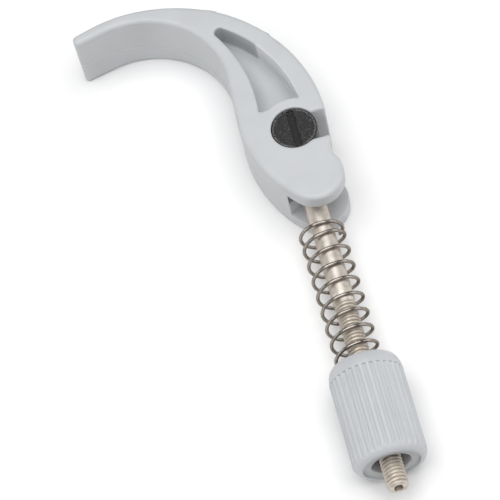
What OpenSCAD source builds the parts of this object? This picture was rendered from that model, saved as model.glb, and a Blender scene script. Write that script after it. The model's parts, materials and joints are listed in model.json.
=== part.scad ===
// Quick-release clamp for a stair gate: a cam lever on a barrel pin, a threaded tension
// rod, a loose spring and an adjusting knob. It lies on its side, in the clamped position.
// +Z is the lever's pivot axis and the rod runs along -Y. The origin is on the rod's axis,
// where the end of the cam lobe bears on the gate's frame. All lengths are in millimetres.

/* [Lever] */
// Thickness of the lever along its pivot
lever_t = 19.8; // [18:0.1:22]
// Gap between the two ears of the fork
ear_gap = 10.4; // [8:0.1:11]
// Radius of the lever's long outer curve
back_r = 46.8; // [46.8:0.1:47]
// Radius of the finger hook's inner curve
hook_r = 24.4; // [24.2:0.1:24.4]
// Direction at which the hook's inner curve runs into its straight tip
hook_angle = 102.5; // [102:0.1:103]
// Radius of the rounded tip
tip_r = 1.78; // [1.6:0.01:1.78]
// Radius of the cam lobe's end
lobe_r = 8; // [7.6:0.1:8.2]
// Radius of the waist between the lobe and the outer curve
waist_r = 4; // [3:0.1:5]
// Depth of the crescent pocket in each face
pocket_depth = 7.6; // [2:0.1:8.5]
// Radius of the pocket's rounded upper end
pocket_end_r = 1.5; // [1:0.1:2]
// Radius of the solid ring round the barrel pin, where the pocket ends
pocket_ring_r = 9.5; // [8.5:0.1:10.5]

/* [Barrel pin] */
// Diameter of the barrel pin
barrel_d = 12.6; // [11.6:0.1:13]
// How far each end of the barrel pin lies below the lever's face
barrel_inset = 0.5; // [0:0.1:1.5]
// Width of the screwdriver slot across the barrel pin's face
driver_slot_w = 2.2; // [1:0.1:2.6]
// Depth of the screwdriver slot
driver_slot_depth = 1.3; // [0.5:0.1:1.8]

/* [Tension rod] */
// Diameter of the rod's smooth shank
rod_d = 6; // [5.9:0.05:6]
// Outside diameter of its M6 thread
thread_d = 5.85; // [5.8:0.05:5.9]
// Distance from the barrel pin's axis to the start of the thread
thread_start = 50.5; // [45:0.5:52]
// Length of the rod from the barrel pin's axis to the tip
rod_reach = 105.7; // [101:0.1:115]
// Width across flats of the small hexagon socket in the tip
socket_af = 2.2; // [2:0.1:3]
// Depth of the hexagon socket
socket_depth = 3; // [1:0.5:5]

/* [Spring] */
// Diameter of the spring's wire
wire_d = 0.95; // [0.6:0.05:1]
// Mean radius of the coils
coil_r = 5.88; // [5.6:0.02:6]
// Number of turns
coil_turns = 9.9; // [6:0.1:12]
// Distance from the barrel pin's axis to the spring's free end
spring_start = 26.4; // [25:0.1:35]

/* [Knob] */
// Outside diameter of the adjusting knob
knob_d = 19.8; // [19:0.1:19.8]
// Length of the knob along the rod
knob_l = 29.2; // [27:0.1:31]
// Distance from the barrel pin's axis to the knob's near end
knob_start = 69.7; // [69:0.1:73]
// Number of grip flutes
flutes = 32; // [16:1:36]
// Depth of the grip flutes
flute_depth = 0.35; // [0.1:0.05:0.5]
// Radius of the core that fills the sleeve
core_r = 7.6; // [7:0.1:7.8]
// Radius of the round hole in the foot of the core
foot_hole_r = 5.1; // [4.5:0.1:5.4]

/* [Hidden] */
$fn = 96;

// Centres of the lever's curves, measured from the pivot.
back_c = [-37, 4.1];
hook_c = [-38.2, 22.9];
lobe_c = [1.7, -15.4];
// Where the straight flank below the hook turns into the cam's long flank curve
flank = [-14.4, 6];
hook_end_angle = -2;

pocket_outer_c = [-38.1, 5.2];
pocket_outer_r = 41.9;
pocket_inner_c = [-53.6, 13];
pocket_inner_r = 45.9;
pocket_low_y = 7.6;

// The notch opens the barrel pin's bore to the lever's outer edge.
notch_low_y = -4.9;
notch_high_y = 3.3;
// The rod swings in the fork's gap, from this side wall round to the notch.
swing_wall_x = -3.35;
groove_left = [-9, -18.4];
groove_right_y = -16.1;
past = 14;

pin_clearance = 0.05;
pin_chamfer = 0.4;
rod_seat_depth = 2;
rod_chamfer = 1.2;

// The spring is loose, so its coils hang on the rod and lie a little to one side.
coil_offset_x = -0.5;
coil_drop = 2.2;
closed_turns = 0.4;
ramp_turns = 0.7;
closed_pitch = 0.9;
// Fraction of a turn from the free end to the top of the first coil
first_top = 0.35;
steps_per_turn = 20;

shoulder_r = 8.2;
shoulder_l = 4.2;
foot_round_r = 2.3;
foot_round_l = 2.8;
flute_r = 1;
flute_start = 4;
core_top = 3;
foot_recess = 0.5;
rod_hole_r = rod_d / 2 + 0.4;
nut_af = 10;
nut_t = 5;
nut_bore_r = thread_d / 2 + 0.05;
nut_pocket_af = nut_af + 0.1;
web_t = 2;

// The cam's end touches the gate frame at the origin, so the pivot is this far away.
pivot_y = lobe_r - lobe_c[1];

// Points on an arc about c from angle a0 to a1
function arc(c, r, a0, a1, n = 32) =
    [for (i = [0:n]) let (a = a0 + (a1 - a0) * i / n) c + r * [cos(a), sin(a)]];

// Direction from point p to point q
function heading(p, q) = atan2(q[1] - p[1], q[0] - p[0]);

// The point at distance r1 from c1 and r2 from c2, on the left of the line from c1 to c2
function meet(c1, r1, c2, r2) =
    let (d = norm(c2 - c1), u = (c2 - c1) / d, s = (d * d + r1 * r1 - r2 * r2) / (2 * d),
         h = sqrt(r1 * r1 - s * s))
    c1 + s * u - h * [u[1], -u[0]];

// Centre of the round tip, which touches the hook's straight inner edge and the outer curve
function tip_centre() =
    let (q = hook_c + hook_r * [cos(hook_angle), sin(hook_angle)],
         along = [-sin(hook_angle), cos(hook_angle)], out = [cos(hook_angle), sin(hook_angle)],
         w = q - back_c + tip_r * out, k = w * along)
    q + tip_r * out + along * (sqrt(k * k - w * w + pow(back_r - tip_r, 2)) - k);

// Radius of the flank curve that starts upright at the flank point and runs into the lobe
function flank_r() =
    let (d = flank - lobe_c) (lobe_r * lobe_r - d * d) / (2 * (d[0] + lobe_r));

// The lever's outline about its pivot, clockwise from the tip round the outer curve
function lever_outline() =
    let (tip = tip_centre(), flank_c = flank + [flank_r(), 0],
         waist = meet(back_c, back_r + waist_r, lobe_c, lobe_r + waist_r))
    concat(
        arc(back_c, back_r, heading(back_c, tip), heading(back_c, waist), 64),
        arc(waist, waist_r, heading(waist, back_c), heading(waist, lobe_c) + 360, 10),
        arc(lobe_c, lobe_r, heading(lobe_c, waist), heading(flank_c, lobe_c), 40),
        arc(flank_c, flank_r(), heading(flank_c, lobe_c) + 360, 180, 16),
        arc(hook_c, hook_r, hook_end_angle, hook_angle, 40),
        arc(tip, tip_r, hook_angle + 180, heading(back_c, tip), 14));

// A bar, tube or profile about the rod's axis, from distance a off the pivot to the tip
module along_rod(a) {
    translate([0, pivot_y - a, 0]) rotate([90, 0, 0]) children();
}

module hexagon(af) {
    circle(d = af / cos(30), $fn = 6);
}

module fork_gap() {
    linear_extrude(ear_gap, center = true)
        polygon([groove_left, [swing_wall_x, groove_right_y], [swing_wall_x, notch_high_y],
                 [past, notch_high_y], [past, -2 * past], [groove_left[0], -2 * past]]);
}

// The crescent between the pocket's two curves, with a round end that touches both
module crescent() {
    end_c = meet(pocket_inner_c, pocket_inner_r + pocket_end_r,
                 pocket_outer_c, pocket_outer_r - pocket_end_r);
    a0 = heading(pocket_outer_c, end_c);
    a1 = heading(pocket_inner_c, end_c) + 180;
    difference() {
        translate(pocket_outer_c) circle(pocket_outer_r);
        translate(pocket_inner_c) circle(pocket_inner_r);
        polygon(concat([end_c], arc(end_c, 2 * past, a0, a1, 4)));
    }
    translate(end_c) circle(pocket_end_r);
}

module pocket() {
    linear_extrude(lever_t) intersection() {
        difference() {
            crescent();
            circle(pocket_ring_r);
        }
        translate([-2 * past, pocket_low_y]) square([3 * past, 3 * past]);
    }
}

module lever() {
    color("#cfd2d5") translate([0, pivot_y, 0]) difference() {
        linear_extrude(lever_t, center = true) polygon(lever_outline());
        cylinder(r = barrel_d / 2 + pin_clearance, h = 2 * lever_t, center = true);
        translate([0, notch_low_y, -lever_t])
            cube([past, notch_high_y - notch_low_y, 2 * lever_t]);
        fork_gap();
        for (side = [0, 1]) mirror([0, 0, side])
            translate([0, 0, lever_t / 2 - pocket_depth]) pocket();
    }
}

module barrel_pin() {
    half = lever_t / 2 - barrel_inset;
    r = barrel_d / 2;
    color("#303234") translate([0, pivot_y, 0]) difference() {
        rotate_extrude() polygon([[0, -half], [r - pin_chamfer, -half], [r, pin_chamfer - half],
                                  [r, half - pin_chamfer], [r - pin_chamfer, half], [0, half]]);
        translate([-driver_slot_w / 2, -barrel_d, half - driver_slot_depth])
            cube([driver_slot_w, 2 * barrel_d, lever_t]);
        translate([0, rod_seat_depth, 0]) rotate([90, 0, 0])
            cylinder(d = rod_d, h = barrel_d);
    }
}

module tension_rod() {
    length = rod_reach + rod_seat_depth;
    shank_l = thread_start + rod_seat_depth;
    color("#b9aea2") along_rod(-rod_seat_depth) difference() {
        rotate_extrude() polygon([[0, 0], [rod_d / 2, 0], [rod_d / 2, shank_l],
            [thread_d / 2, shank_l + rod_d - thread_d], [thread_d / 2, length - rod_chamfer],
            [thread_d / 2 - rod_chamfer, length], [0, length]]);
        translate([0, 0, length - socket_depth])
            linear_extrude(socket_depth + 1) hexagon(socket_af);
    }
}

// Open turns gained after t turns from either end: none while closed, then along a ramp
function ramp(t) =
    let (s = min(max(t - closed_turns, 0), ramp_turns))
    s * s / (2 * ramp_turns) + max(t - closed_turns - ramp_turns, 0);
spring_l = knob_start - spring_start - wire_d;
open_turns = coil_turns - 2 * closed_turns - ramp_turns;
open_pitch = (spring_l - closed_pitch * coil_turns) / open_turns;
// Distance along the rod from the free end, after t turns
function rise(t) =
    closed_pitch * t + open_pitch * (t < coil_turns / 2 ? ramp(t) : open_turns - ramp(coil_turns - t));

module spring() {
    sides = 8;
    rings = ceil(coil_turns * steps_per_turn);
    points = [for (i = [0:rings], j = [0:sides - 1])
        let (t = i / rings * coil_turns, a = 90 + 360 * (t - first_top), b = 360 * j / sides,
             r = coil_r + wire_d / 2 * cos(b))
        [coil_offset_x + r * cos(a), wire_d / 2 * sin(b) - rise(t), r * sin(a) - coil_drop]];
    walls = [for (i = [0:rings - 1], j = [0:sides - 1]) let (k = (j + 1) % sides)
        [i * sides + j, i * sides + k, (i + 1) * sides + k, (i + 1) * sides + j]];
    near_cap = [for (j = [sides - 1:-1:0]) j];
    far_cap = [for (j = [0:sides - 1]) rings * sides + j];
    color("#a39a90") translate([0, pivot_y - spring_start - wire_d / 2, 0])
        polyhedron(points, concat([near_cap], walls, [far_cap]));
}

module knob_sleeve() {
    r = knob_d / 2;
    shoulder = [for (a = [0:10:90])
        [shoulder_r + (r - shoulder_r) * sin(a), shoulder_l * (1 - cos(a))]];
    foot = [for (a = [0:10:90])
        [r - foot_round_r * (1 - cos(a)), knob_l - foot_round_l * (1 - sin(a))]];
    profile = concat([[rod_hole_r, 0]], shoulder, foot,
                     [[core_r, knob_l], [core_r, core_top], [rod_hole_r, core_top]]);
    color("#d2d5d7") along_rod(knob_start) difference() {
        rotate_extrude() polygon(profile);
        for (i = [0:flutes - 1]) rotate(360 * i / flutes)
            translate([r + flute_r - flute_depth, 0, flute_start])
                cylinder(r = flute_r, h = knob_l, $fn = 24);
    }
}

module knob_core() {
    height = knob_l - foot_recess - core_top;
    color("#c9ccce") along_rod(knob_start + core_top) difference() {
        cylinder(r = core_r, h = height);
        translate([0, 0, -1]) cylinder(r = rod_hole_r, h = height + 2);
        translate([0, 0, -1]) linear_extrude(nut_t + 1) hexagon(nut_pocket_af);
        translate([0, 0, nut_t + web_t]) cylinder(r = foot_hole_r, h = height);
    }
}

module knob_nut() {
    color("#a8a49c") along_rod(knob_start + core_top) difference() {
        linear_extrude(nut_t) hexagon(nut_af);
        translate([0, 0, -1]) cylinder(r = nut_bore_r, h = nut_t + 2);
    }
}

lever();
barrel_pin();
tension_rod();
spring();
knob_sleeve();
knob_core();
knob_nut();
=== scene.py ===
"""Looks of the stair gate latch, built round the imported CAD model.

Shapes are worked out in millimetres about the lever's pivot: x and y as in the frame, z along the
pivot, and "reach" is the distance from the pivot along the rod, towards -Y.
"""

import itertools
import json
import math

import bpy
import numpy as np
from mathutils import Matrix, Vector


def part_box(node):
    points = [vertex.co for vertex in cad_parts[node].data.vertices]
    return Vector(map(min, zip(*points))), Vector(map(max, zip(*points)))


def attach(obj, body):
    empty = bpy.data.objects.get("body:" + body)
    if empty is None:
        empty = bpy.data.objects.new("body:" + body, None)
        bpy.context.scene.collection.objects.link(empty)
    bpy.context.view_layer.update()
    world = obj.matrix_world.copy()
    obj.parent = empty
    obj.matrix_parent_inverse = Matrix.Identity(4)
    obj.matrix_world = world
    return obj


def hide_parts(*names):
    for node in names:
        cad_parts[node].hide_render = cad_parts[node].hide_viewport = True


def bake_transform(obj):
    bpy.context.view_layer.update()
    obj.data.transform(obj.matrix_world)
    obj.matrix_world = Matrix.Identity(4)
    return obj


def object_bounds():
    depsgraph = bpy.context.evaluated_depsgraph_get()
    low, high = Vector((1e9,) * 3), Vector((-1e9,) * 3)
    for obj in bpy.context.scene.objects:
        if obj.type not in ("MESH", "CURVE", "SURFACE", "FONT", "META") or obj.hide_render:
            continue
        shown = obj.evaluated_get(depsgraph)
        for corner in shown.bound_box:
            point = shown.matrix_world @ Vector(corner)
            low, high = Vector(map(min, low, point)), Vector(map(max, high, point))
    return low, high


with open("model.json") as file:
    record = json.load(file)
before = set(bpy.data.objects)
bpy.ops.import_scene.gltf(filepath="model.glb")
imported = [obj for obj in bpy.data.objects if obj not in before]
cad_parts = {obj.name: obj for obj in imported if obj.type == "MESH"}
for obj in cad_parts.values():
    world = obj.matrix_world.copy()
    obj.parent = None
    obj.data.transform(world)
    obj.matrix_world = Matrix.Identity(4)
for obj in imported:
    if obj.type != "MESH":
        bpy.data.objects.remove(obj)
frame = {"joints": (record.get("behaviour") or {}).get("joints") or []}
CAD_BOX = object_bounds()

MM = 0.001
JOINTS = {joint["name"]: joint for joint in frame["joints"]}
PIVOT = Vector(JOINTS["lever_swing"]["pos_m"])


def node_box(node):
    """Lowest and highest corner of a CAD node, in millimetres from the pivot."""
    low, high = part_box(node)
    return (low - PIVOT) / MM, (high - PIVOT) / MM


# ---------------------------------------------------------------- meshes

def add_piece(name, points, faces, material, sharp_angle=40):
    """A smooth-shaded mesh object from points in millimetres about the pivot."""
    mesh = bpy.data.meshes.new(name)
    mesh.from_pydata((np.asarray(points) * MM + np.array(PIVOT)).tolist(), [], faces)
    mesh.validate()
    mesh.shade_smooth()
    mesh.set_sharp_from_angle(angle=math.radians(sharp_angle))
    mesh.materials.append(material)
    piece = bpy.data.objects.new(name, mesh)
    bpy.context.scene.collection.objects.link(piece)
    return piece


def grid_faces(rows, columns, closed_rows=False):
    """Quads between rows of points that each go once round."""
    faces = []
    for j in range(rows if closed_rows else rows - 1):
        near, far = j * columns, (j + 1) % rows * columns
        for i in range(columns):
            k = (i + 1) % columns
            faces.append((near + i, far + i, far + k, near + k))
    return faces


def column_angles(columns):
    """Directions of a turned shape's columns, from +Z towards +X."""
    return np.arange(columns) * 2 * math.pi / columns


def turned(profile, columns, closed):
    """Points and faces of a turned shape round the rod's axis.

    The profile lists (reach, radius) along the outside from the near end, and back along the bore
    if it is closed. Each may be an array with a value for each column.
    """
    angle = column_angles(columns)
    rows = [(np.broadcast_to(reach, columns), np.broadcast_to(radius, columns)) for reach, radius in profile]
    points = [np.stack([radius * np.sin(angle), -reach, radius * np.cos(angle)], 1) for reach, radius in rows]
    faces = grid_faces(len(rows), columns, closed)
    if not closed:
        last = (len(rows) - 1) * columns
        points += [points[0].mean(0, keepdims=True), points[-1].mean(0, keepdims=True)]
        near, far = len(rows) * columns, len(rows) * columns + 1
        for i in range(columns):
            k = (i + 1) % columns
            faces += [(near, i, k), (far, last + k, last + i)]
    return np.concatenate(points), faces


def hexagon_radius(across_flats, columns):
    """Radius of a hexagon at each column."""
    off_flat = (column_angles(columns) + math.pi / 6) % (math.pi / 3) - math.pi / 6
    return across_flats / 2 / np.cos(off_flat)


def quarter(steps):
    """Angles of a quarter turn, for rounded edges."""
    return [math.pi / 2 * i / steps for i in range(steps + 1)]


def tube(line, side, lift, width, height, sides):
    """A closed tube along a line, whose section is an ellipse in the plane of side and lift."""
    turn = column_angles(sides)
    rings = (line[:, None] + width / 2 * np.cos(turn)[None, :, None] * side[:, None]
             + height / 2 * np.sin(turn)[None, :, None] * lift[:, None])
    faces = grid_faces(len(line), sides)
    faces += [tuple(range(sides)), tuple(len(line) * sides - 1 - i for i in range(sides))]
    return rings.reshape(-1, 3), faces


# ---------------------------------------------------------------- solids as distance fields

def round_both(a, b, radius):
    """Distance to what is inside both a and b, with a rounded edge where they meet."""
    return (np.minimum(-radius, np.maximum(a, b))
            + np.hypot(np.maximum(a + radius, 0), np.maximum(b + radius, 0)))


def cut(solid, tool, radius):
    """Distance to the solid less the tool, with a rounded rim."""
    return round_both(solid, -tool, radius)


def rectangle(x, y, low, high):
    """Distance to a rectangle, negative inside it."""
    across = np.maximum(low[0] - x, x - high[0])
    up = np.maximum(low[1] - y, y - high[1])
    return np.minimum(np.maximum(across, up), 0) + np.hypot(np.maximum(across, 0), np.maximum(up, 0))


def surface_net(field, axes):
    """Quads on the zero surface of a field: one point in each grid cell that the surface crosses."""
    values = field(axes[0][:, None, None], axes[1][None, :, None], axes[2][None, None, :])
    inside = values < 0
    size = np.array(values.shape) - 1
    corners = list(itertools.product((0, 1), repeat=3))
    count = sum(inside[tuple(slice(o, o + n) for o, n in zip(corner, size))].astype(np.int8)
                for corner in corners)
    cells = np.argwhere((count > 0) & (count < 8))
    total, hits = np.zeros((len(cells), 3)), np.zeros((len(cells), 1))
    for corner, axis in itertools.product(corners, range(3)):
        if corner[axis]:
            continue
        start = cells + corner
        end = start + np.eye(3, dtype=int)[axis]
        f0, f1 = values[tuple(start.T)], values[tuple(end.T)]
        crossed = (f0 < 0) != (f1 < 0)
        share = np.where(crossed, f0 / np.where(crossed, f0 - f1, 1), 0)[:, None]
        p0, p1 = (np.stack([axes[k][at[:, k]] for k in range(3)], 1) for at in (start, end))
        total += crossed[:, None] * (p0 + share * (p1 - p0))
        hits += crossed[:, None]
    index = np.full(size, -1)
    index[tuple(cells.T)] = np.arange(len(cells))
    faces = []
    for axis in range(3):
        step = np.eye(3, dtype=int)
        b, c = step[(axis + 1) % 3], step[(axis + 2) % 3]
        low = inside[tuple(slice(0, n) if k == axis else slice(1, n) for k, n in enumerate(size))]
        high = inside[tuple(slice(1, n + 1) if k == axis else slice(1, n) for k, n in enumerate(size))]
        at = np.argwhere(low != high) + b + c
        quads = np.stack([index[tuple((at - away).T)] for away in (b + c, c, 0 * b, b)], 1)
        solid_below = inside[tuple(at.T)]
        faces += [quads[solid_below], quads[~solid_below][:, ::-1]]
    return total / hits, np.concatenate(faces).tolist()


def settle(points, field, reach, rounds=3, gap=0.01):
    """Moves points onto the zero surface of the field, by at most reach a round."""
    for _ in range(rounds):
        value = field(*points.T)
        slope = np.stack([(field(*(points + e).T) - field(*(points - e).T)) / (2 * gap)
                          for e in gap * np.eye(3)], 1)
        step = value / np.maximum((slope * slope).sum(1), 0.25)
        points = points - np.clip(step, -reach, reach)[:, None] * slope
    return points


def grid_axis(low, high, step, margin=1.0):
    """Evenly spaced values from below low to above high."""
    count = math.ceil((high - low + 2 * margin) / step)
    return np.linspace(low - margin, high + margin, count + 1)


def solid(field, box, step):
    """Points and faces of a field's surface inside a box, on a grid of that step."""
    points, faces = surface_net(field, [grid_axis(a, b, step) for a, b in zip(*box)])
    return settle(points, field, step / 2), faces


# ---------------------------------------------------------------- materials

def new_material(name, roughness, metallic=0.0, **sockets):
    """A material with a Principled shader, and the nodes that its patterns start from."""
    material = bpy.data.materials.new(name)
    material.use_nodes = True
    shader = material.node_tree.nodes["Principled BSDF"]
    shader.inputs["Roughness"].default_value = roughness
    shader.inputs["Metallic"].default_value = metallic
    for socket, value in sockets.items():
        shader.inputs[socket.replace("_", " ")].default_value = value
    return material, shader


def add_node(material, kind, inputs=(), **settings):
    """A node with its settings, and each of its inputs set to a value or linked to a socket."""
    node = material.node_tree.nodes.new(kind)
    for key, value in settings.items():
        setattr(node, key, value)
    for key, value in dict(inputs).items():
        if isinstance(value, bpy.types.NodeSocket):
            material.node_tree.links.new(value, node.inputs[key])
        else:
            node.inputs[key].default_value = value
    return node


def link(material, source, target):
    """Joins an output socket to an input socket."""
    material.node_tree.links.new(source, target)


def pattern(material, size_mm, detail=3.0, stretch=(1, 1, 1), distortion=0.0):
    """Noise whose grains are about size_mm across, stretched along the frame's axes."""
    place = add_node(material, "ShaderNodeTexCoord")
    scale = tuple(1 / s for s in stretch)
    mapping = add_node(material, "ShaderNodeMapping", {"Vector": place.outputs["Object"], "Scale": scale})
    noise = add_node(material, "ShaderNodeTexNoise", {
        "Vector": mapping.outputs["Vector"], "Scale": 1 / (size_mm * MM), "Detail": detail,
        "Distortion": distortion})
    return noise.outputs["Fac"]


def steps(material, value, stops):
    """A ramp of (place, grey or colour) stops."""
    ramp = add_node(material, "ShaderNodeValToRGB", {"Fac": value})
    elements = ramp.color_ramp.elements
    while len(elements) < len(stops):
        elements.new(0.5)
    for element, (place, tone) in zip(elements, stops):
        element.position = place
        element.color = (tone, tone, tone, 1) if isinstance(tone, (int, float)) else (*tone, 1)
    return ramp.outputs["Color"]


def bump(material, shader, height, depth_mm):
    """Relief of that depth from a height pattern."""
    inputs = {"Height": height, "Distance": depth_mm * MM, "Strength": 1.0}
    relief = add_node(material, "ShaderNodeBump", inputs)
    link(material, relief.outputs["Normal"], shader.inputs["Normal"])


def math_node(material, operation, *values):
    """Result of the operation on values or sockets."""
    return add_node(material, "ShaderNodeMath", dict(enumerate(values)), operation=operation).outputs[0]


def near_value(material, value, centre, width, flat=0.0):
    """1 where the value is the centre or near it, down to 0 once it is off by the width."""
    off = math_node(material, "ABSOLUTE", math_node(material, "SUBTRACT", value, centre))
    return steps(material, math_node(material, "DIVIDE", off, width), [(flat, 1.0), (1.0, 0.0)])


def frame_place(material):
    """X, Y and Z of a point at rest, in metres from the pivot."""
    place = add_node(material, "ShaderNodeTexCoord").outputs["Object"]
    offset = add_node(material, "ShaderNodeVectorMath", {0: place, 1: tuple(PIVOT)}, operation="SUBTRACT")
    return add_node(material, "ShaderNodeSeparateXYZ", {0: offset.outputs[0]}).outputs


def from_axis(material, x, y, centre=(0, 0)):
    """Distance in metres from an axis along Z through a centre, which is in millimetres."""
    squares = []
    for value, middle in zip((x, y), centre):
        off = math_node(material, "SUBTRACT", value, middle * MM)
        squares.append(math_node(material, "MULTIPLY", off, off))
    return math_node(material, "SQRT", math_node(material, "ADD", *squares))


def painted_light_marks(material, color):
    """The lever's colour, with painted light: a paler strip on the pocket's outer wall, and a painted
    highlight on the mould line.
    """
    x, y, z = frame_place(material)
    radius = from_axis(material, x, y, POCKET_OUTER_C)
    on_wall = near_value(material, radius, POCKET_OUTER_R * MM, PAINTED_STRIP_THICK * MM, flat=0.5)
    middle_z, half_z = LEVER_HALF - POCKET_DEPTH / 2, POCKET_DEPTH / 2
    in_pocket = near_value(material, math_node(material, "ABSOLUTE", z), middle_z * MM, half_z * MM, flat=0.9)
    middle_y, half_y = (PAINTED_STRIP_HIGH_Y + POCKET_LOW_Y) / 2, (PAINTED_STRIP_HIGH_Y - POCKET_LOW_Y) / 2
    along = near_value(material, y, middle_y * MM, (half_y + PAINTED_STRIP_THICK) * MM, flat=0.92)
    # The strip is painted light: a paler band on the pocket's outer wall.
    strip = math_node(material, "MULTIPLY", math_node(material, "MULTIPLY", on_wall, in_pocket), along)
    # Nothing but the mould line's ridge stands inside the circle of the hook's wall.
    inside_hook = from_axis(material, x, y, HOOK_C)
    # Painted highlight along the mould line's ridge.
    painted_line_highlight = near_value(material, inside_hook, (HOOK_R - 0.4) * MM, 0.3 * MM, flat=0.5)
    painted_light_mask = math_node(material, "MAXIMUM", strip, math_node(material, "MULTIPLY", painted_line_highlight, 0.45))
    # The painted light and the painted highlight go in as a paler grey.
    pale = add_node(material, "ShaderNodeMix", {0: painted_light_mask, 6: color, 7: (*PAINTED_LIGHT_GREY, 1)}, data_type="RGBA")
    return pale.outputs[2]


def moulded_plastic(name, color, grain_mm=0.03, marks=None):
    """Light matt plastic: faint clouding, a fine moulded grain, uneven gloss, and painted light from marks,
    if given.
    """
    material, shader = new_material(name, 0.45, Specular_IOR_Level=0.4)
    cloud = pattern(material, 9, detail=2)
    tones = [tuple(c * share for c in color) for share in (0.965, 1.0, 1.02)]
    base = steps(material, cloud, list(zip((0.3, 0.5, 0.7), tones)))
    # Marks, where given, paint light onto the base colour.
    link(material, marks(material, base) if marks else base, shader.inputs["Base Color"])
    gloss = steps(material, pattern(material, 0.8, detail=4), [(0.3, 0.40), (0.7, 0.52)])
    link(material, gloss, shader.inputs["Roughness"])
    bump(material, shader, pattern(material, 0.45, detail=3), grain_mm)
    return material


def plated_metal(name, color, dark, edge, roughness, relief_mm, stretch=(1, 1, 1)):
    """Nickel plating with faint drawing marks along the piece, uneven gloss and warm stains."""
    material, shader = new_material(name, roughness, metallic=1.0, Specular_Tint=(*edge, 1))
    stain = pattern(material, 1.6, detail=5, distortion=0.6)
    link(material, steps(material, stain, [(0.34, dark), (0.52, color)]), shader.inputs["Base Color"])
    marks = pattern(material, 0.3, detail=3, stretch=stretch)
    gloss = steps(material, marks, [(0.3, roughness * 0.85), (0.7, roughness * 1.25)])
    link(material, gloss, shader.inputs["Roughness"])
    bump(material, shader, marks, relief_mm)
    return material


def blackened_steel(name):
    """Black oxide, satin, rubbed pale along the turned rim and the slot's edges, with scratches, and painted
    shade in the slot.
    """
    material, shader = new_material(name, 0.45, metallic=0.2, Specular_IOR_Level=0.35)
    scratch_a = pattern(material, 0.14, detail=2, stretch=(9, 1, 1), distortion=0.8)
    scratch_b = pattern(material, 0.14, detail=2, stretch=(1, 7, 1), distortion=1.2)
    spots = pattern(material, 0.45, detail=6)
    fine = math_node(material, "MULTIPLY", scratch_a, scratch_b)
    worn = math_node(material, "MULTIPLY", fine, spots)

    x, y, _ = frame_place(material)
    rim = near_value(material, from_axis(material, x, y), PIN_RUB_R * MM, 0.35 * MM)
    from_middle = math_node(material, "ABSOLUTE", x)
    edge = near_value(material, from_middle, SLOT_W / 2 * MM, 0.2 * MM)
    rubbed = math_node(material, "MULTIPLY", math_node(material, "MAXIMUM", rim, edge), RUBBED)
    # Painted shade: the colour is darker in the slot, where it lies in shade.
    slot_shade_mask = math_node(material, "LESS_THAN", from_middle, (SLOT_W / 2 - 0.12) * MM)
    total = math_node(material, "ADD", worn, math_node(material, "MULTIPLY", rubbed, spots))
    total = math_node(material, "SUBTRACT", total, math_node(material, "MULTIPLY", slot_shade_mask, 0.05))
    tone = steps(material, total, [(0.08, (0.009, 0.009, 0.010)), (0.17, (0.024, 0.024, 0.025)),
                                   (0.25, (0.15, 0.145, 0.14))])
    link(material, tone, shader.inputs["Base Color"])
    link(material, steps(material, spots, [(0.35, 0.36), (0.65, 0.58)]), shader.inputs["Roughness"])
    bump(material, shader, spots, 0.02)
    return material


# ---------------------------------------------------------------- lever

LEVER_LOW, LEVER_HIGH = node_box("lever")
LEVER_HALF = LEVER_HIGH.z
LEVER_EDGE = 1.15
BORE_R = node_box("barrel_pin")[1].x + 0.05

# Circles of the outline: outer curve, hook's inner wall, cam lobe, waist above it and hook's tip
BACK_C, BACK_R = np.array([-37, 4.1]), 46.8
HOOK_C, HOOK_R = np.array([-38.2, 22.9]), 24.4
HOOK_START, HOOK_END = -2, 102.5
LOBE_C, LOBE_R = np.array([1.7, -15.4]), 8
WAIST_R = 4
TIP_R = 1.78
# Leftmost point of the flank between the hook's wall and the lobe
FLANK = np.array([-14.4, 6])

# Crescent pocket in each face, between two circles, with a ring left round the pin
POCKET_OUTER_C, POCKET_OUTER_R = np.array([-38.1, 5.2]), 41.9
POCKET_INNER_C, POCKET_INNER_R = np.array([-53.6, 13]), 45.9
POCKET_END_R = 1.5
POCKET_LOW_Y = 7.6
POCKET_DEPTH = 7.6
POCKET_RING_R = 9.5

# Notch from the bore to the outer edge, and the step where the mould's halves meet in it
NOTCH_LOW_Y, NOTCH_HIGH_Y = -4.9, 3.3
NOTCH_EDGE = 0.85
MISMATCH = 0.16

# Gap between the ears: its side wall, its slanted end and a deeper hollow in the upper corner
EAR_GAP = 10.4
SWING_WALL_X = -3.35
GROOVE_LEFT = (-9, -18.4)
GROOVE_RIGHT_Y = -16.1
RECESS_LOW, RECESS_HIGH = (-6.7, -20), (-3.6, -13.8)
RECESS_Z, RECESS_HALF = 2.8, 2.2
# Past the lever's outline in every direction that a cut leaves it
FAR = 42

# Strip of painted light on the pocket's outer wall, from the pocket's low end up to this level.
# The mould line has some of its colour, as a painted highlight.
PAINTED_STRIP_HIGH_Y = 29.2
PAINTED_STRIP_THICK = 0.5
PAINTED_LIGHT_GREY = (0.80, 0.81, 0.82)

# Ridge of the mould line on the hook's wall: section, first direction, and drop towards the flank
LINE_RIDGE = 0.34
LINE_START = 14
LINE_Z, LINE_DROP, LINE_TURN = -1.5, 4.2, 82
LINE_TIP_Z = -1.3

# How far the moulded outer curve stands off its circle, by direction from the circle's centre: two
# small ridges, a flatter stretch below them and a tip that falls away
OUTER_DIRECTIONS = (-6, 0, 35.4, 36.6, 38.6, 56.5, 57.8, 60, 62.5, 91, 97, 104)
OUTER_RELIEF = (0, -0.25, -0.22, 0.1, -0.08, 0.08, 0.3, 0.26, 0.02, 0, -0.16, -0.46)


def heading(p, q):
    """Direction from point p to point q, in degrees."""
    return math.degrees(math.atan2(q[1] - p[1], q[0] - p[0]))


def on_circle(centre, radius, angle):
    """The point of a circle in that direction, in degrees."""
    return centre + radius * np.array([math.cos(math.radians(angle)), math.sin(math.radians(angle))])


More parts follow.
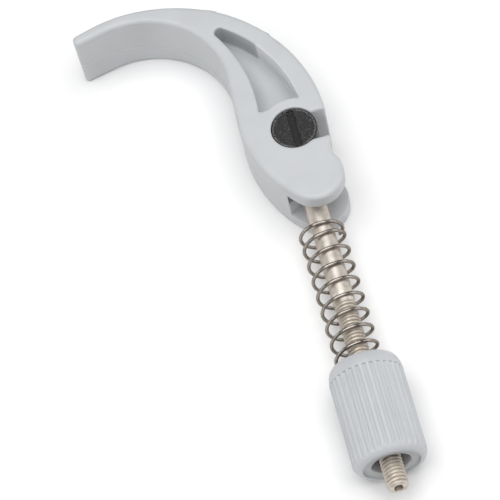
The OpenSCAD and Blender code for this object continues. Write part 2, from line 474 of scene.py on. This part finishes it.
def meet(c1, r1, c2, r2):
    """The point r1 from c1 and r2 from c2, on the left of the line from c1 to c2."""
    d = np.linalg.norm(c2 - c1)
    u = (c2 - c1) / d
    s = (d * d + r1 * r1 - r2 * r2) / (2 * d)
    return c1 + s * u - math.sqrt(r1 * r1 - s * s) * np.array([u[1], -u[0]])


def tip_centre():
    """Centre of the round tip, which touches the hook's straight edge and the outer curve."""
    end = on_circle(HOOK_C, HOOK_R, HOOK_END)
    out = on_circle(np.zeros(2), 1, HOOK_END)
    along = np.array([-out[1], out[0]])
    w = end - BACK_C + TIP_R * out
    k = w @ along
    return end + TIP_R * out + along * (math.sqrt(k * k - w @ w + (BACK_R - TIP_R) ** 2) - k)


def lever_arcs():
    """The lever's outline, clockwise: (centre, radius, first angle, last angle) of each arc."""
    tip = tip_centre()
    waist = meet(BACK_C, BACK_R + WAIST_R, LOBE_C, LOBE_R + WAIST_R)
    d = FLANK - LOBE_C
    flank_r = (LOBE_R ** 2 - d @ d) / (2 * (d[0] + LOBE_R))
    flank_c = FLANK + [flank_r, 0]
    return [
        (BACK_C, BACK_R, heading(BACK_C, tip), heading(BACK_C, waist)),
        (waist, WAIST_R, heading(waist, BACK_C), heading(waist, LOBE_C) + 360),
        (LOBE_C, LOBE_R, heading(LOBE_C, waist), heading(flank_c, LOBE_C)),
        (flank_c, flank_r, heading(flank_c, LOBE_C) + 360, 180),
        (HOOK_C, HOOK_R, HOOK_START, HOOK_END),
        (tip, TIP_R, HOOK_END + 180, heading(BACK_C, tip)),
    ]


ARCS = lever_arcs()


def to_arc(x, y, centre, radius, first, last):
    """Distance to an arc, and on which side of its circle the lever isn't: 1 outside, -1 inside."""
    dx, dy = x - centre[0], y - centre[1]
    away = np.hypot(dx, dy)
    turn = np.degrees(np.arctan2(dy, dx)) - (first + last) / 2
    beside = np.abs((turn + 180) % 360 - 180) <= abs(last - first) / 2
    ends = [on_circle(centre, radius, angle) for angle in (first, last)]
    to_end = np.minimum(*[np.hypot(x - end[0], y - end[1]) for end in ends])
    side = np.sign(away - radius) * (1 if last < first else -1)
    return np.where(beside, np.abs(away - radius), to_end), side


def to_line(x, y, start, end):
    """Distance to a straight edge, and the side: 1 on its left, where the lever isn't."""
    along = end - start
    length = np.linalg.norm(along)
    along = along / length
    dx, dy = x - start[0], y - start[1]
    far = np.clip(dx * along[0] + dy * along[1], 0, length)
    return np.hypot(dx - far * along[0], dy - far * along[1]), np.sign(along[0] * dy - along[1] * dx)


def outline(x, y):
    """Distance to the lever's outline, negative inside it."""
    best = np.full(np.broadcast(x, y).shape, 1e9)
    result = best.copy()
    for arc, after in zip(ARCS, ARCS[1:] + ARCS[:1]):
        candidates = [to_arc(x, y, *arc)]
        end, start = on_circle(arc[0], arc[1], arc[3]), on_circle(after[0], after[1], after[2])
        if np.linalg.norm(start - end) > 0.01:
            candidates.append(to_line(x, y, end, start))
        for distance, side in candidates:
            nearer = distance < best
            best = np.where(nearer, distance, best)
            result = np.where(nearer, distance * side, result)
    return result


def smooth_step(value, low, high):
    """0 up to low, 1 from high, and a smooth rise between them."""
    share = np.clip((value - low) / (high - low), 0, 1)
    return share * share * (3 - 2 * share)


def outer_relief(x, y):
    """How far the moulded surface stands off the circle of the outer curve."""
    angle = np.degrees(np.arctan2(y - BACK_C[1], x - BACK_C[0]))
    on_back = smooth_step(np.hypot(x - BACK_C[0], y - BACK_C[1]), BACK_R - 3, BACK_R - 1.5)
    return on_back * np.interp(angle, OUTER_DIRECTIONS, OUTER_RELIEF)


POCKET_END_C = meet(POCKET_INNER_C, POCKET_INNER_R + POCKET_END_R,
                    POCKET_OUTER_C, POCKET_OUTER_R - POCKET_END_R)


def pocket_outline(x, y):
    """Distance to the crescent between two curves, its round end and the ring round the pin."""
    outer = np.hypot(x - POCKET_OUTER_C[0], y - POCKET_OUTER_C[1]) - POCKET_OUTER_R
    inner = POCKET_INNER_R - np.hypot(x - POCKET_INNER_C[0], y - POCKET_INNER_C[1])
    dx, dy = x - POCKET_END_C[0], y - POCKET_END_C[1]
    first = heading(POCKET_OUTER_C, POCKET_END_C)
    last = heading(POCKET_INNER_C, POCKET_END_C) + 180
    past_end = (np.degrees(np.arctan2(dy, dx)) - first) % 360 < last - first
    crescent = np.where(past_end, np.hypot(dx, dy) - POCKET_END_R, np.maximum(outer, inner))
    low = round_both(crescent, POCKET_LOW_Y - y, 0.7)
    return round_both(low, POCKET_RING_R - np.hypot(x, y), 0.6)


def fork_outline(x, y):
    """Distance to the gap between the ears: right of its side wall, and below its slanted one."""
    across, down = SWING_WALL_X - GROOVE_LEFT[0], GROOVE_RIGHT_Y - GROOVE_LEFT[1]
    slope = math.hypot(across, down)
    under = ((y - GROOVE_LEFT[1]) * across - (x - GROOVE_LEFT[0]) * down) / slope
    groove = round_both(under, GROOVE_LEFT[0] - x, 0.3)
    swing = rectangle(x, y, (SWING_WALL_X, -FAR), (FAR, NOTCH_HIGH_Y))
    return np.minimum(groove, swing)


def lever_field(x, y, z):
    """Distance to the lever's surface: the rounded body less its gap, notch, bore and pockets."""
    body = round_both(outline(x, y) - outer_relief(x, y), np.abs(z) - LEVER_HALF, LEVER_EDGE)
    gap = round_both(fork_outline(x, y), np.abs(z) - EAR_GAP / 2, 0.35)
    body = cut(body, gap, 0.22)
    recess = round_both(rectangle(x, y, RECESS_LOW, RECESS_HIGH), np.abs(z - RECESS_Z) - RECESS_HALF, 0.2)
    body = cut(body, recess, 0.15)
    notch_high = NOTCH_HIGH_Y + MISMATCH * smooth_step(z, -0.15, 0.1)
    notch = rectangle(x, y, (0, NOTCH_LOW_Y), (FAR, notch_high))
    body = cut(body, notch, NOTCH_EDGE)
    body = cut(body, np.hypot(x, y) - BORE_R, 0.3)
    pocket = round_both(pocket_outline(x, y), LEVER_HALF - POCKET_DEPTH - np.abs(z), 0.45)
    return cut(body, pocket, 0.5)


def make_lever():
    points, faces = solid(lever_field, (LEVER_LOW, LEVER_HIGH), 0.32)
    lever = add_piece("lever_moulding", points, faces, lever_plastic, 60)
    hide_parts("lever")
    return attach(lever, "lever")


def make_parting_line():
    """The fine ridge that the mould's joint left on the hook's inner wall, as far as its tip."""
    tip_c, tip_r, tip_first, tip_last = ARCS[-1]
    around = np.linspace(LINE_START, HOOK_END, 60)
    wall = [on_circle(HOOK_C, HOOK_R, a) for a in around]
    out = [on_circle(np.zeros(2), -1, a) for a in around]
    height = [LINE_Z - LINE_DROP * ((HOOK_END - a) / LINE_TURN) ** 0.8 for a in around]
    turning = np.linspace(tip_first, tip_first + 0.2 * (tip_last - tip_first), 8)
    wall += [on_circle(tip_c, tip_r, a) for a in turning]
    out += [on_circle(np.zeros(2), 1, a) for a in turning]
    height += [LINE_TIP_Z] * len(turning)
    line = np.column_stack([wall, height])
    side = np.tile([0.0, 0.0, 1.0], (len(line), 1))
    lift = np.column_stack([out, np.zeros(len(out))])
    points, faces = tube(line, side, lift, LINE_RIDGE, LINE_RIDGE, 8)
    ridge = add_piece("lever_parting_line", points, faces, lever_plastic)
    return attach(ridge, "lever")


# ---------------------------------------------------------------- barrel pin

PIN_LOW, PIN_HIGH = node_box("barrel_pin")
SLOT_W, SLOT_DEPTH = 2.2, 1.3
# Material left between the slot's ends and the rim
SLOT_END = 0.55
# Radius of the turned rim where the oxide is rubbed, and how pale it is
PIN_RUB_R = 5.75
RUBBED = 0.22
# The rod goes in to this level past the pivot
ROD_SEAT = 2
ROD_R = node_box("tension_rod")[1].z


def pin_field(x, y, z):
    """Distance to the pin's surface: a rounded cylinder less its slot and the rod's seat."""
    body = round_both(np.hypot(x, y) - PIN_HIGH.x, np.abs(z) - PIN_HIGH.z, 0.4)
    slot = round_both(np.abs(x) - SLOT_W / 2, PIN_HIGH.z - SLOT_DEPTH - z, 0.25)
    slot = np.maximum(slot, np.hypot(x, y) - PIN_HIGH.x + SLOT_END)
    seat = round_both(np.hypot(x, z) - ROD_R, y - ROD_SEAT, 0.1)
    return cut(cut(body, slot, 0.16), seat, 0.2)


def make_barrel_pin():
    points, faces = solid(pin_field, (PIN_LOW, PIN_HIGH), 0.18)
    pin = add_piece("slotted_barrel_pin", points, faces, black_steel, 60)
    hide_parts("barrel_pin")
    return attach(pin, "rod")


# ---------------------------------------------------------------- tension rod

ROD_END = -node_box("tension_rod")[0].y
ROD_COLUMNS = 72
THREAD_R = 2.925
THREAD_START = 50.5
THREAD_DEPTH = 0.6
PITCH = 1.0
THREAD_RUNOUT = 1.4
# Stretch at the tip whose rows end at the socket's uneven rim
TIP_STRETCH = 3
TIP_ROUND_L, TIP_ROUND_R = 1.9, 1.3
# Socket: across its flats, depth, drill point, and how far its upper side is worn out
SOCKET_AF, SOCKET_DEPTH, SOCKET_POINT = 2.2, 3, 0.4
SOCKET_RIM = 0.12
SOCKET_WORN = 1.0


def thread_radius(reach, angle):
    """Radius of the right-hand thread, with rounded crests and roots."""
    phase = (reach / PITCH + angle / (2 * math.pi)) % 1
    from_root = np.abs(phase - 0.5) * PITCH
    groove = 1 - smooth_step(from_root, 0.06, 0.44)
    fade = smooth_step(reach, THREAD_START, THREAD_START + THREAD_RUNOUT)
    return THREAD_R - THREAD_DEPTH * groove * fade


def tip_round(reach):
    """Radius of the rounded tip at that reach."""
    share = np.clip((reach - ROD_END + TIP_ROUND_L) / TIP_ROUND_L, 0, 1)
    return THREAD_R - TIP_ROUND_R * (1 - np.sqrt(1 - share * share))


def tip_reach(radius):
    """Where the rounded tip has that radius."""
    return ROD_END - TIP_ROUND_L * (1 - np.sqrt(1 - (1 - (THREAD_R - radius) / TIP_ROUND_R) ** 2))


def make_tension_rod():
    angle = column_angles(ROD_COLUMNS)
    profile = [(-ROD_SEAT, ROD_R - 0.3), (0.3 - ROD_SEAT, ROD_R)]
    profile += [(reach, ROD_R) for reach in np.arange(0, THREAD_START, 4)]
    profile += [(THREAD_START - 0.1, ROD_R), (THREAD_START, THREAD_R)]
    rows_per_turn = 16
    last_turn = ROD_END - TIP_STRETCH
    for row in range(1, int((last_turn - THREAD_START) * rows_per_turn)):
        reach = THREAD_START + row / rows_per_turn
        profile.append((reach, thread_radius(reach, angle)))
    # The socket's upper side is worn out into the rounded tip.
    hexagon = hexagon_radius(SOCKET_AF, ROD_COLUMNS)
    rim = hexagon + SOCKET_RIM + SOCKET_WORN * np.maximum(np.cos(angle), 0) ** 3
    edge = np.maximum(rim + 0.02, THREAD_R - TIP_ROUND_R)
    edge_reach = tip_reach(edge)
    for share in np.linspace(0, 1, TIP_STRETCH * rows_per_turn):
        reach = last_turn + (edge_reach - last_turn) * share
        profile.append((reach, np.minimum(thread_radius(reach, angle), tip_round(reach))))
    profile += [(edge_reach, rim), (edge_reach - SOCKET_RIM, rim - SOCKET_RIM),
                (ROD_END - SOCKET_DEPTH, hexagon),
                (ROD_END - SOCKET_DEPTH - SOCKET_POINT, hexagon * 0.2)]
    points, faces = turned(profile, ROD_COLUMNS, closed=False)
    rod = add_piece("threaded_rod", points, faces, plated_steel, 35)
    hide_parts("tension_rod")
    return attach(rod, "rod")


# ---------------------------------------------------------------- spring

SPRING_LOW, SPRING_HIGH = node_box("spring")
WIRE_D = 0.95
WIRE_SIDES, WIRE_ROWS = 16, 60
COIL_R = (SPRING_HIGH.x - SPRING_LOW.x - WIRE_D) / 2
COIL_OFFSET = (SPRING_HIGH.x + SPRING_LOW.x) / 2
COIL_DROP = -(SPRING_HIGH.z + SPRING_LOW.z) / 2
# Turns in all, closed turns at each end, and turns over which the pitch opens
COIL_TURNS = 9.9
CLOSED_TURNS = 0.4
RAMP_TURNS = 0.7
CLOSED_PITCH = 0.9
# Turns from the wire's near end to the first top
FIRST_TOP = 0.35


def ramp(t):
    """Open turns gained after t turns from either end: none while closed, then along a ramp."""
    start = np.clip(t - CLOSED_TURNS, 0, RAMP_TURNS)
    return start * start / (2 * RAMP_TURNS) + np.maximum(t - CLOSED_TURNS - RAMP_TURNS, 0)


def make_spring():
    length = -SPRING_LOW.y + SPRING_HIGH.y - WIRE_D
    open_turns = COIL_TURNS - 2 * CLOSED_TURNS - RAMP_TURNS
    open_pitch = (length - CLOSED_PITCH * COIL_TURNS) / open_turns
    t = np.linspace(0, COIL_TURNS, math.ceil(COIL_TURNS * WIRE_ROWS) + 1)
    rise = CLOSED_PITCH * t + open_pitch * np.where(
        t < COIL_TURNS / 2, ramp(t), open_turns - ramp(COIL_TURNS - t))
    turn = math.pi / 2 + 2 * math.pi * (t - FIRST_TOP)
    outward = np.column_stack([np.cos(turn), 0 * turn, np.sin(turn)])
    start = SPRING_HIGH.y - WIRE_D / 2
    line = COIL_R * outward + np.column_stack([0 * t + COIL_OFFSET, start - rise, 0 * t - COIL_DROP])
    lift = np.tile([0.0, 1.0, 0.0], (len(t), 1))
    points, faces = tube(line, outward, lift, WIRE_D, WIRE_D, WIRE_SIDES)
    spring = add_piece("coil_spring", points, faces, spring_steel, 50)
    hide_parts("spring")
    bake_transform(spring)
    return spring


# ---------------------------------------------------------------- knob

KNOB_LOW, KNOB_HIGH = node_box("knob_sleeve")
KNOB_R = KNOB_HIGH.z
KNOB_START, KNOB_END = -KNOB_HIGH.y, -KNOB_LOW.y
CORE_LOW, CORE_HIGH = node_box("knob_core")
CORE_TOP, CORE_FOOT = -CORE_HIGH.y, -CORE_LOW.y
CORE_R = CORE_HIGH.z
NUT_LOW, NUT_HIGH = node_box("knob_nut")
NUT_TOP, NUT_FOOT = -NUT_HIGH.y, -NUT_LOW.y
NUT_AF = 10
SHOULDER_R, SHOULDER_L = 8.2, 4.2
FOOT_ROUND_R, FOOT_ROUND_L = 2.3, 2.8
FLUTES, FLUTE_COLUMNS = 32, 16
FLUTE_R = 0.55
FLUTE_DEPTH = 0.46
FLUTE_START = 4
RIDGE_SOFT = 0.28
ROD_HOLE_R = ROD_R + 0.4
ROD_HOLE_RIM = 0.25
FOOT_HOLE_R = 5.1
# Gap between the plug and the sleeve, and the plug's wall below the nut
PLUG_GAP = 0.06
WEB = 2


def fluted(radius):
    """The radius at each column of the fluted grip, with softened ridges."""
    angle = column_angles(FLUTES * FLUTE_COLUMNS)
    off = (angle * FLUTES / (2 * math.pi) + 0.5) % 1 - 0.5
    off = off * 2 * math.pi / FLUTES
    centre = KNOB_R + FLUTE_R - FLUTE_DEPTH
    groove = centre * np.cos(off) - np.sqrt(np.maximum(FLUTE_R ** 2 - (centre * np.sin(off)) ** 2, 0))
    blend = np.maximum(1 - np.abs(radius - groove) / RIDGE_SOFT, 0)
    return np.minimum(radius, groove) - RIDGE_SOFT / 4 * blend * blend


def make_knob_sleeve():
    columns = FLUTES * FLUTE_COLUMNS
    profile = [(KNOB_START + ROD_HOLE_RIM, ROD_HOLE_R), (KNOB_START, ROD_HOLE_R + ROD_HOLE_RIM)]
    for a in quarter(14)[:-1]:
        reach = KNOB_START + SHOULDER_L * (1 - math.cos(a))
        profile.append((reach, SHOULDER_R + (KNOB_R - SHOULDER_R) * math.sin(a)))
    flute_top = KNOB_START + FLUTE_START
    profile = [row for row in profile if row[0] < flute_top - 0.05]
    profile += [(flute_top - 0.03, KNOB_R - 0.005), (flute_top + 0.08, fluted(KNOB_R))]
    straight_end = KNOB_END - FOOT_ROUND_L
    profile += [(reach, fluted(KNOB_R)) for reach in np.linspace(flute_top + 0.6, straight_end, 6)]
    for a in reversed(quarter(16)[:-1]):
        radius = KNOB_R - FOOT_ROUND_R * (1 - math.sin(a))
        profile.append((KNOB_END - FOOT_ROUND_L * (1 - math.cos(a)), fluted(radius)))
    rim = 0.12
    profile += [(KNOB_END, CORE_R + rim), (KNOB_END - rim, CORE_R),
                (CORE_TOP, CORE_R), (CORE_TOP, ROD_HOLE_R)]
    points, faces = turned(profile, columns, closed=True)
    sleeve = add_piece("fluted_knob", points, faces, knob_plastic, 45)
    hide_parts("knob_sleeve")
    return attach(sleeve, "knob")


def make_knob_core():
    columns = 96
    radius = CORE_R - PLUG_GAP
    pocket = hexagon_radius(NUT_AF + 0.1, columns)
    rim, hole_rim = 0.15, 0.5
    profile = [(CORE_TOP, pocket), (CORE_TOP, radius)]
    for a in quarter(4):
        profile.append((CORE_FOOT - rim * (1 - math.sin(a)), radius - rim * (1 - math.cos(a))))
    for a in quarter(6):
        reach = CORE_FOOT - hole_rim * (1 - math.cos(a))
        profile.append((reach, FOOT_HOLE_R + hole_rim * (1 - math.sin(a))))
    profile += [(NUT_FOOT + WEB, FOOT_HOLE_R), (NUT_FOOT + WEB, ROD_HOLE_R), (NUT_FOOT, ROD_HOLE_R),
                (NUT_FOOT, pocket)]
    points, faces = turned(profile, columns, closed=True)
    core = add_piece("knob_plug", points, faces, core_plastic, 45)
    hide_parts("knob_core")
    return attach(core, "knob")


def make_knob_nut():
    columns = 96
    hexagon = hexagon_radius(NUT_AF, columns)
    bore, rim = THREAD_R + 0.05, 0.3
    face_r, slope = NUT_AF / 2 * 0.96, math.tan(math.radians(30))
    chamfer = [(h, np.minimum(hexagon, face_r + h / slope)) for h in (0, 0.1, 0.2, 0.35, 0.5)]
    profile = [(NUT_TOP + rim, bore), (NUT_TOP, bore + rim)]
    profile += [(NUT_TOP + h, radius) for h, radius in chamfer]
    profile += [(NUT_FOOT - h, radius) for h, radius in reversed(chamfer)]
    profile += [(NUT_FOOT, bore + rim), (NUT_FOOT - rim, bore)]
    points, faces = turned(profile, columns, closed=True)
    nut = add_piece("captive_nut", points, faces, nut_steel, 30)
    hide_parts("knob_nut")
    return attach(nut, "knob")


# ---------------------------------------------------------------- finishes

LEVER_GREY = (0.480, 0.492, 0.505)
KNOB_GREY = (0.475, 0.487, 0.505)
CORE_GREY = (0.40, 0.407, 0.413)
SMOOTH_GRAIN = 0.012

# The lever's plastic has painted light: a pale strip on the pocket's wall and a highlight on the mould line.
lever_plastic = moulded_plastic("lever_plastic", LEVER_GREY, marks=painted_light_marks)
knob_plastic = moulded_plastic("knob_plastic", KNOB_GREY, SMOOTH_GRAIN)
core_plastic = moulded_plastic("core_plastic", CORE_GREY, SMOOTH_GRAIN)
plated_steel = plated_metal("plated_steel", color=(0.66, 0.61, 0.55), dark=(0.57, 0.515, 0.455),
                            edge=(0.5, 0.45, 0.4), roughness=0.48, relief_mm=0.0015, stretch=(1, 6, 1))
spring_steel = plated_metal("spring_steel", color=(0.36, 0.325, 0.29), dark=(0.27, 0.24, 0.21),
                            edge=(0.28, 0.25, 0.22), roughness=0.26, relief_mm=0.002)
nut_steel = plated_metal("nut_steel", color=(0.58, 0.56, 0.52), dark=(0.45, 0.43, 0.40),
                         edge=(0.6, 0.6, 0.6), roughness=0.32, relief_mm=0.003)
black_steel = blackened_steel("black_steel")


# ---------------------------------------------------------------- stage

CAMERA_ELEVATION = math.radians(60.54)
CAMERA_ROLL = math.radians(15.42)
CAMERA_DISTANCE = 0.6792
CAMERA_TARGET = Vector((-0.0202, 0.0026, -0.0118))
CAMERA_LENS = 179.2


def make_camera():
    """A long lens that looks down at the object, rolled so that the rod leans to the right."""
    back = Vector((0, -math.cos(CAMERA_ELEVATION), math.sin(CAMERA_ELEVATION)))
    level_up = Vector((0, math.sin(CAMERA_ELEVATION), math.cos(CAMERA_ELEVATION)))
    level_right = Vector((1, 0, 0))
    right = math.cos(CAMERA_ROLL) * level_right - math.sin(CAMERA_ROLL) * level_up
    up = math.sin(CAMERA_ROLL) * level_right + math.cos(CAMERA_ROLL) * level_up
    camera = bpy.data.objects.new("camera", bpy.data.cameras.new("camera"))
    camera.matrix_world = (Matrix.Translation(CAMERA_TARGET + CAMERA_DISTANCE * back)
                           @ Matrix((right, up, back)).transposed().to_4x4())
    camera.data.lens = CAMERA_LENS
    camera.data.sensor_width = 36
    camera.data.clip_start = 0.01
    bpy.context.scene.collection.objects.link(camera)
    bpy.context.scene.camera = camera


def make_floor():
    """A plain pale floor under the object."""
    half, height = 3, CAD_BOX[0].z
    corners = [(-half, -half, height), (half, -half, height), (half, half, height), (-half, half, height)]
    mesh = bpy.data.meshes.new("floor")
    mesh.from_pydata(corners, [], [(0, 1, 2, 3)])
    material, shader = new_material("floor", 0.6, Specular_IOR_Level=0.2)
    shader.inputs["Base Color"].default_value = (0.86, 0.86, 0.86, 1)
    mesh.materials.append(material)
    floor = bpy.data.objects.new("floor", mesh)
    bpy.context.scene.collection.objects.link(floor)


def add_softbox(name, place, size, power):
    """A rectangular studio lamp that faces the origin."""
    light = bpy.data.lights.new(name, "AREA")
    light.shape = "RECTANGLE"
    light.size, light.size_y = size
    light.energy = power
    lamp = bpy.data.objects.new(name, light)
    lamp.location = place
    lamp.rotation_euler = (Vector() - Vector(place)).to_track_quat("-Z", "Y").to_euler()
    bpy.context.scene.collection.objects.link(lamp)


def make_lights():
    """A large overhead lamp, one on each side and one in front, over a dim even background."""
    world = bpy.data.worlds.new("studio")
    world.use_nodes = True
    background = world.node_tree.nodes["Background"]
    background.inputs["Color"].default_value = (0.97, 0.98, 1.0, 1)
    background.inputs["Strength"].default_value = 0.09
    bpy.context.scene.world = world
    add_softbox("overhead", (0, 0, 0.8), (0.9, 0.9), 8.0)
    add_softbox("left", (-0.8, 0, 0.32), (0.7, 0.5), 2.4)
    add_softbox("right", (0.8, 0, 0.32), (0.7, 0.5), 2.7)
    add_softbox("front", (0, -0.8, 0.3), (0.7, 0.5), 1.6)
    bpy.context.scene.view_settings.view_transform = "Standard"


# ---------------------------------------------------------------- assembly

make_camera()
make_floor()
make_lights()
make_lever()
make_parting_line()
make_barrel_pin()
make_tension_rod()
make_spring()
make_knob_sleeve()
make_knob_core()
make_knob_nut()
